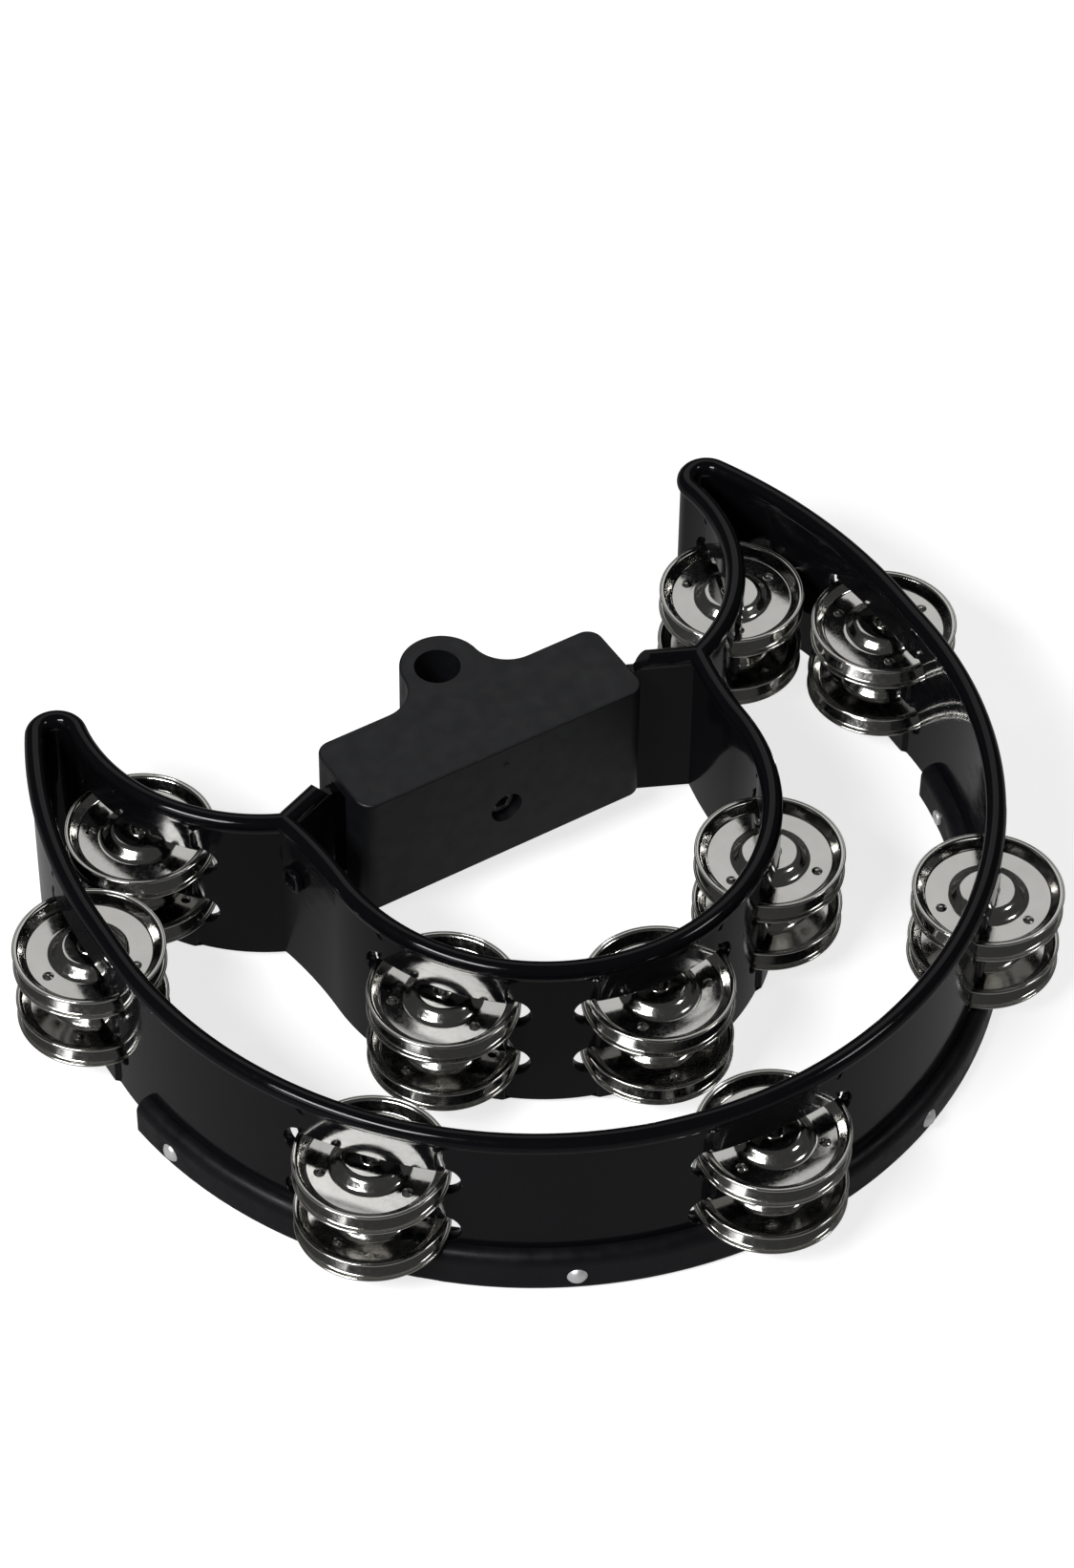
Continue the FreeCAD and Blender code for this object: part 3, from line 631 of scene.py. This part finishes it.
def plate_outline():
    """Closed section of the plate, walked over the dish and back under it, with the run breaks."""
    half = SHEET_T / 2.0
    high = DISH + half
    middle = [(EYE_R, high), (HUB_TOP_R, high), (HUB_BASE_R, half), (RIM_IN_R, half),
              (RIM_OUT_R, high), (PLATE_R - LIP_BEAD_R, high)]
    ways = np.array([-1, 1, 1, -1]) * half
    bends = np.array([HUB_BEND_R, HUB_BEND_R, RIM_BEND_R, RIM_BEND_R])
    over = rounded_line(shifted(middle, half), bends - ways)
    under = rounded_line(shifted(middle, -half), bends + ways)[::-1]
    edge = math.degrees(math.asin(half / EYE_BEAD_R))
    eye = bead_arc((EYE_R, high), EYE_BEAD_R, -edge, -360.0 + edge, 15)
    lip_edge = math.degrees(math.asin(half / LIP_BEAD_R))
    lip = bead_arc((PLATE_R - LIP_BEAD_R, high), LIP_BEAD_R, 180.0 - lip_edge, -180.0 + lip_edge, 15)
    outline, cuts = [], [0]
    for run in (eye, over, lip, under):
        outline += list(run)
        cuts.append(len(outline))
    return outline, cuts


def make_plate_mesh(look):
    """Jingle plate, dish upward, with the underside of its ring on height 0."""
    shell = Shell()
    outline, cuts = plate_outline()
    for a, b in zip(cuts, cuts[1:]):
        add_lathe(shell, outline[a:b], PLATE_STEPS, [0, b - a - 1])
    rows, steps = 9, 28
    for k in range(3):
        at = polar((0, 0), DIMPLE_AT_R, 120.0 * k)
        points, normals = [], []
        for t in np.linspace(0.0, 1.0, rows):
            rho = DIMPLE_R * t
            height = SHEET_T + DIMPLE_RISE * (1.0 - t * t) ** 1.5
            slope = -DIMPLE_RISE * 3.0 * t * math.sqrt(max(1.0 - t * t, 0.0)) / DIMPLE_R
            for a in np.linspace(0.0, 2 * math.pi, steps, endpoint=False):
                c, s = math.cos(a), math.sin(a)
                points.append((at[0] + rho * c, at[1] + rho * s, height + 0.002))
                normals.append((-slope * c, -slope * s, 1.0))
        shell.add(points, normals, grid_faces(rows, steps, wrap=True))
    return shell.mesh("jingle_plate", look, shift=(0, 0, 0))


def snug_turn(deg):
    """A plate looks the same a third of a turn on; this picks the turn that keeps its box squarest."""
    return min((deg + 120 * k for k in range(3)), key=lambda t: abs(math.sin(math.radians(2 * t))))


def place_plates(look):
    """Forty plates, back to back in pairs, each riding on its own body."""
    data = make_plate_mesh(look)
    spots = {}
    for path, stations in ((RIM, RIM_STATIONS), (LOOP, LOOP_STATIONS)):
        for name, s in stations.items():
            spots[name] = path.at([s])[0][0]
    for name, (x, y) in spots.items():
        for row, mid in PAIR_MIDS.items():
            for letter, sign in (("a", 1), ("b", -1)):
                node = "plate_%s_%s_%s" % (name, row, letter)
                obj = bpy.data.objects.new(node + "_look", data)
                bpy.context.collection.objects.link(obj)
                turn_deg = snug_turn(DIMPLE_TURNS[name] + ROW_TURN[row, letter])
                turn = Matrix.Rotation(math.radians(turn_deg), 4, "Z")
                flip = Matrix.Rotation(math.pi if sign < 0 else 0.0, 4, "X")
                place = Vector((x, y + HANDLE_TO_ORIGIN, mid + sign * PAIR_GAP)) * MM
                obj.matrix_world = Matrix.Translation(place) @ turn @ flip
                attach(obj, node)
                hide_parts(node)



# ---- materials -------------------------------------------------------------------------
class Look:
    """Principled material; constants sit on the shader, textures come in through links."""

    def __init__(self, name, colour, roughness, metallic=0.0, specular=0.5):
        self.material = bpy.data.materials.new(name)
        self.material.use_nodes = True
        self.nodes = self.material.node_tree.nodes
        self.links = self.material.node_tree.links
        self.shader = self.nodes["Principled BSDF"]
        self.shader.inputs["Base Color"].default_value = (*colour, 1.0)
        self.shader.inputs["Roughness"].default_value = roughness
        self.shader.inputs["Metallic"].default_value = metallic
        self.shader.inputs["Specular IOR Level"].default_value = specular
        self.place = self.nodes.new("ShaderNodeTexCoord").outputs["Object"]
        self.last_normal = None

    def noise(self, scale, detail=2.0, roughness=0.5, stretch=(1.0, 1.0, 1.0)):
        """Noise in object space; scale counts features in a metre."""
        spread = self.nodes.new("ShaderNodeMapping")
        spread.inputs["Scale"].default_value = stretch
        self.links.new(self.place, spread.inputs["Vector"])
        texture = self.nodes.new("ShaderNodeTexNoise")
        texture.inputs["Scale"].default_value = scale
        texture.inputs["Detail"].default_value = detail
        texture.inputs["Roughness"].default_value = roughness
        self.links.new(spread.outputs["Vector"], texture.inputs["Vector"])
        return texture.outputs["Fac"]

    def spread(self, value, low, high, to_low, to_high):
        """Map a value from one range to another, clamped."""
        node = self.nodes.new("ShaderNodeMapRange")
        for socket, number in zip(("From Min", "From Max", "To Min", "To Max"), (low, high, to_low, to_high)):
            node.inputs[socket].default_value = number
        self.links.new(value, node.inputs["Value"])
        return node.outputs["Result"]

    def tint(self, value, dark, light):
        """Base colour between two tones."""
        ramp = self.nodes.new("ShaderNodeValToRGB")
        ramp.color_ramp.elements[0].color = (*dark, 1.0)
        ramp.color_ramp.elements[1].color = (*light, 1.0)
        self.links.new(value, ramp.inputs["Fac"])
        self.links.new(ramp.outputs["Color"], self.shader.inputs["Base Color"])

    def rough(self, value):
        """Roughness from a value."""
        self.links.new(value, self.shader.inputs["Roughness"])

    def bump(self, value, depth, strength=1.0):
        """Raise the surface by a value; depth is in metres."""
        node = self.nodes.new("ShaderNodeBump")
        node.inputs["Distance"].default_value = depth
        node.inputs["Strength"].default_value = strength
        self.links.new(value, node.inputs["Height"])
        if self.last_normal is not None:
            self.links.new(self.last_normal, node.inputs["Normal"])
        self.last_normal = node.outputs["Normal"]
        self.links.new(self.last_normal, self.shader.inputs["Normal"])


def gloss_black():
    """Moulded gloss plastic with faint flow waves and fine wipe marks."""
    look = Look("gloss_black_plastic_look", (0.0030, 0.0030, 0.0038), 0.1, specular=0.2)
    wipes = look.noise(160.0, 4.0, 0.65, (1.0, 1.0, 6.0))
    look.rough(look.spread(wipes, 0.42, 0.78, 0.07, 0.22))
    look.bump(look.noise(45.0, 1.0), 0.00012, 0.5)
    look.bump(look.noise(1400.0, 2.0, 0.6, (1.0, 1.0, 0.25)), 0.000006, 0.5)
    return look.material


def satin_black():
    """Fine sparked texture of the clamp block."""
    look = Look("satin_black_plastic_look", (0.0045, 0.0048, 0.0062), 0.42, specular=0.42)
    look.rough(look.spread(look.noise(220.0, 3.0), 0.3, 0.75, 0.36, 0.52))
    look.bump(look.noise(2600.0, 2.0, 0.6), 0.00002, 0.6)
    return look.material


def rubber():
    """Black rubber, faintly mottled."""
    look = Look("black_rubber_look", (0.005, 0.005, 0.006), 0.36, specular=0.16)
    look.tint(look.noise(70.0, 3.0), (0.003, 0.003, 0.004), (0.007, 0.007, 0.009))
    look.rough(look.spread(look.noise(260.0, 3.0), 0.35, 0.7, 0.30, 0.48))
    look.bump(look.noise(1800.0, 2.0), 0.00002, 0.5)
    return look.material


def nickel():
    """Bright plated sheet with polishing haze and a fine grain that catches the light."""
    look = Look("plate_nickel_look", (0.66, 0.655, 0.63), 0.1, 1.0)
    look.tint(look.noise(110.0, 3.0, 0.6), (0.56, 0.55, 0.52), (0.70, 0.695, 0.67))
    look.rough(look.spread(look.noise(900.0, 4.0, 0.7), 0.35, 0.75, 0.07, 0.2))
    look.bump(look.noise(2600.0, 2.0, 0.6), 0.00001, 0.55)
    look.bump(look.noise(110.0, 1.0), 0.00008, 0.15)
    return look.material


def steel():
    """Drawn steel of the pins."""
    look = Look("pin_steel_look", (0.55, 0.55, 0.55), 0.25, 1.0)
    look.rough(look.spread(look.noise(1200.0, 3.0), 0.3, 0.7, 0.2, 0.34))
    return look.material


def aluminium():
    """Softly dented aluminium of the rivets."""
    look = Look("rivet_aluminium_look", (0.80, 0.80, 0.81), 0.4, 0.75)
    look.rough(look.spread(look.noise(900.0, 3.0), 0.3, 0.7, 0.32, 0.5))
    look.bump(look.noise(1500.0, 2.0), 0.00003, 0.6)
    return look.material


def dark_steel():
    """Darkened steel of the screw and nut."""
    look = Look("screw_steel_look", (0.30, 0.30, 0.31), 0.3, 1.0)
    look.rough(look.spread(look.noise(1000.0, 3.0), 0.3, 0.7, 0.24, 0.4))
    return look.material


LOOKS = {"gloss_black_plastic": gloss_black(), "satin_black_plastic": satin_black(), "black_rubber": rubber(),
         "plate_nickel": nickel(), "pin_steel": steel(), "rivet_aluminium": aluminium(),
         "screw_steel": dark_steel()}
SLOT_OF = {s["node"]: s["material_slot"] for s in frame["record"]["subparts"]}


def dress(node):
    """Give a CAD node its look."""
    obj = frame["nodes"][node]
    look = LOOKS[SLOT_OF[node]]
    obj.data.materials.clear()
    obj.data.materials.append(look)


for node in frame["nodes"]:
    dress(node)

frame_look = make_frame(LOOKS["gloss_black_plastic"])
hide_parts("frame")
place_plates(LOOKS["plate_nickel"])


# ---- floor, light and camera -----------------------------------------------------------
FLOOR_SIZE = 6.0
FLOOR_DROP = 0.0002             # the floor lies this far under the object, in metres
FLOOR_GREY, FLOOR_GLOW = 0.46, 0.76          # as seen directly
MIRRORED_GREY, MIRRORED_GLOW = 0.04, 0.22    # as seen mirrored in the object
AIM_Z = 0.03
CAMERA_AZIMUTH, CAMERA_ELEVATION, CAMERA_ROLL = -30.408, 46.419, 0.758
CAMERA_TARGET = (16.02, 51.40, 19.0)         # millimetres
CAMERA_DISTANCE = 1.3331
CAMERA_LENS, SENSOR = 118.348, 36.0
# name, azimuth, elevation, distance, width, height, power
SOFTBOXES = (("key", -73, 47, 1.6, 0.75, 0.32, 24),
             ("side", 54, 46, 1.6, 0.30, 0.25, 3),
             ("rear", 150, 47, 1.8, 1.5, 0.95, 3.0),
             ("low", -75, 27, 1.6, 0.55, 0.26, 1.1))
WORLD_STRENGTH = 0.045


def make_floor():
    """Pale floor that stays white round the object."""
    bpy.ops.mesh.primitive_plane_add(size=FLOOR_SIZE, location=(0, 0, -FLOOR_DROP))
    floor = bpy.context.object
    floor.name = "floor"
    look = Look("floor_look", (FLOOR_GREY,) * 3, 0.9, specular=0.0)
    look.shader.inputs["Emission Color"].default_value = (1.0, 1.0, 1.0, 1.0)
    glossy = look.nodes.new("ShaderNodeLightPath").outputs["Is Glossy Ray"]
    glow = look.spread(glossy, 0.0, 1.0, FLOOR_GLOW, MIRRORED_GLOW)
    look.links.new(glow, look.shader.inputs["Emission Strength"])
    look.tint(glossy, (FLOOR_GREY,) * 3, (MIRRORED_GREY,) * 3)
    floor.data.materials.append(look.material)


def make_world(strength):
    """Even grey surroundings."""
    world = bpy.data.worlds.new("studio")
    bpy.context.scene.world = world
    world.use_nodes = True
    world.node_tree.nodes["Background"].inputs["Color"].default_value = (1, 1, 1, 1)
    world.node_tree.nodes["Background"].inputs["Strength"].default_value = strength


def softbox(name, azimuth, elevation, distance, width, height, power):
    """Area light aimed at the middle of the object."""
    a = math.radians(azimuth)
    e = math.radians(elevation)
    centre = Vector((0, 0, AIM_Z))
    out = Vector((math.sin(a) * math.cos(e), -math.cos(a) * math.cos(e), math.sin(e)))
    data = bpy.data.lights.new(name, "AREA")
    data.shape = "RECTANGLE"
    data.size = width
    data.size_y = height
    data.energy = power
    lamp = bpy.data.objects.new(name, data)
    lamp.location = centre + out * distance
    lamp.rotation_mode = "QUATERNION"
    lamp.rotation_quaternion = (-out).to_track_quat("-Z", "Y")
    bpy.context.collection.objects.link(lamp)


def make_camera():
    """Camera at the product view's angle, without shift."""
    azimuth = math.radians(CAMERA_AZIMUTH)
    elevation = math.radians(CAMERA_ELEVATION)
    roll = math.radians(CAMERA_ROLL)
    target = Vector(CAMERA_TARGET) * MM
    back = Vector((math.sin(azimuth) * math.cos(elevation),
                   -math.cos(azimuth) * math.cos(elevation), math.sin(elevation)))
    right = Vector((math.cos(azimuth), math.sin(azimuth), 0))
    up = back.cross(right)
    rolled_right = right * math.cos(roll) + up * math.sin(roll)
    rolled_up = up * math.cos(roll) - right * math.sin(roll)
    data = bpy.data.cameras.new("camera")
    data.sensor_fit = "VERTICAL"
    data.sensor_height = SENSOR
    data.sensor_width = SENSOR
    data.lens = CAMERA_LENS
    data.clip_start = 0.1
    data.clip_end = 20.0
    camera = bpy.data.objects.new("camera", data)
    axes = Matrix((rolled_right, rolled_up, back)).transposed().to_4x4()
    camera.matrix_world = Matrix.Translation(target + back * CAMERA_DISTANCE) @ axes
    bpy.context.collection.objects.link(camera)
    bpy.context.scene.camera = camera


make_floor()
make_world(WORLD_STRENGTH)
for box in SOFTBOXES:
    softbox(*box)
make_camera()
bpy.context.scene.view_settings.view_transform = "Standard"
